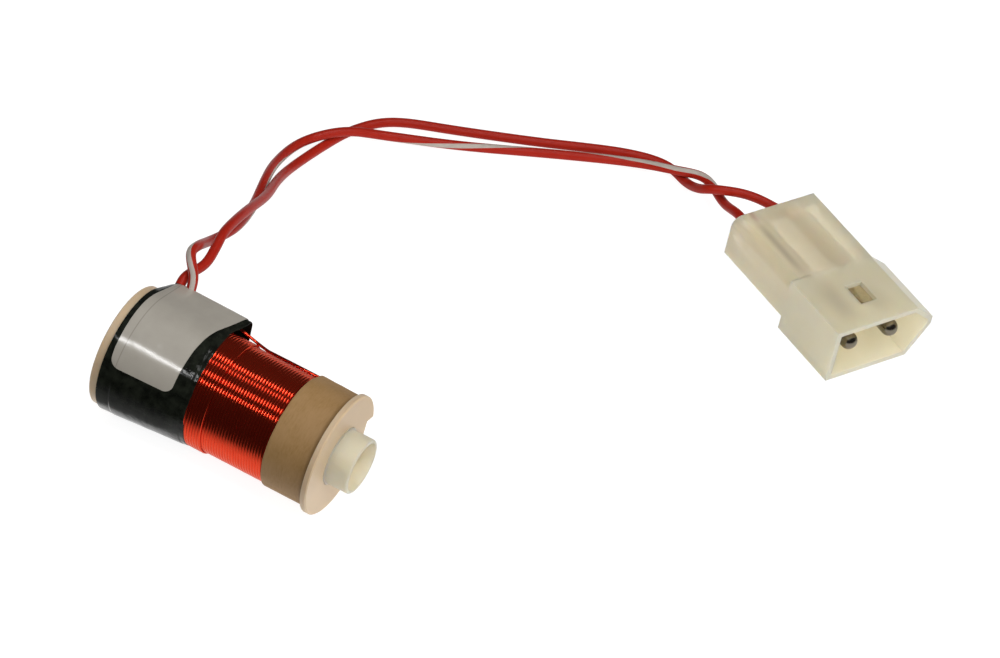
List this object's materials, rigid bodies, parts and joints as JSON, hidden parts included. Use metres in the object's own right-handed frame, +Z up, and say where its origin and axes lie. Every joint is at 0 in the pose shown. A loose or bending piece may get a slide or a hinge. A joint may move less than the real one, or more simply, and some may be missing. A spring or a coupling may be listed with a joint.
{
  "type": "solenoid coil",
  "caption": "Small round solenoid coil with an exposed red winding, taped ends, a hollow plunger sleeve and twisted leads to a keyed plug.",
  "frame": {"origin": "on the table under the middle of the coil, sleeve included and leads and plug left out", "axes": "+X along the coil towards the sleeve nose, +Y to the side the leads leave on, +Z up"},
  "size_m": [0.0862, 0.0944, 0.0178],
  "materials": {
    "bobbin_plastic": "satin moulded",
    "sleeve_nylon": "natural nylon, translucent",
    "magnet_wire": "red enamel, glossy",
    "paper_tape": "matt paper",
    "solder": "bright solder",
    "copper_strands": "bare copper",
    "vinyl_tape": "glossy black",
    "label_film": "satin film",
    "lead_pvc": "glossy red",
    "lead_pvc_traced": "glossy red with a pale tracer",
    "plug_nylon": "natural nylon, translucent",
    "tinned_brass": "bright tin plate"
  },
  "bodies": {
    "coil": {"bobbin": "bobbin_plastic", "winding_core": "magnet_wire", "winding_main": "magnet_wire", "winding_top": "magnet_wire", "start_wire": "magnet_wire", "finish_wire": "magnet_wire", "under_wrap": "paper_tape", "splice_start": "solder", "splice_finish": "solder", "strands_plain_coil": "copper_strands", "strands_striped_coil": "copper_strands", "cover_tape": "vinyl_tape", "front_tape": "paper_tape", "label": "label_film", "lead_plain": "lead_pvc", "lead_striped": "lead_pvc_traced", "plug_housing": "plug_nylon", "pin_left": "tinned_brass", "pin_right": "tinned_brass", "strands_striped_pin": "copper_strands", "strands_plain_pin": "copper_strands"},
    "sleeve": {"coil_sleeve": "sleeve_nylon"}
  },
  "joints": [
    {"name": "sleeve_slide", "type": "slide", "parent": "coil", "child": "sleeve", "axis": [-1, 0, 0], "range_m": [0, 0.03]}
  ]
}
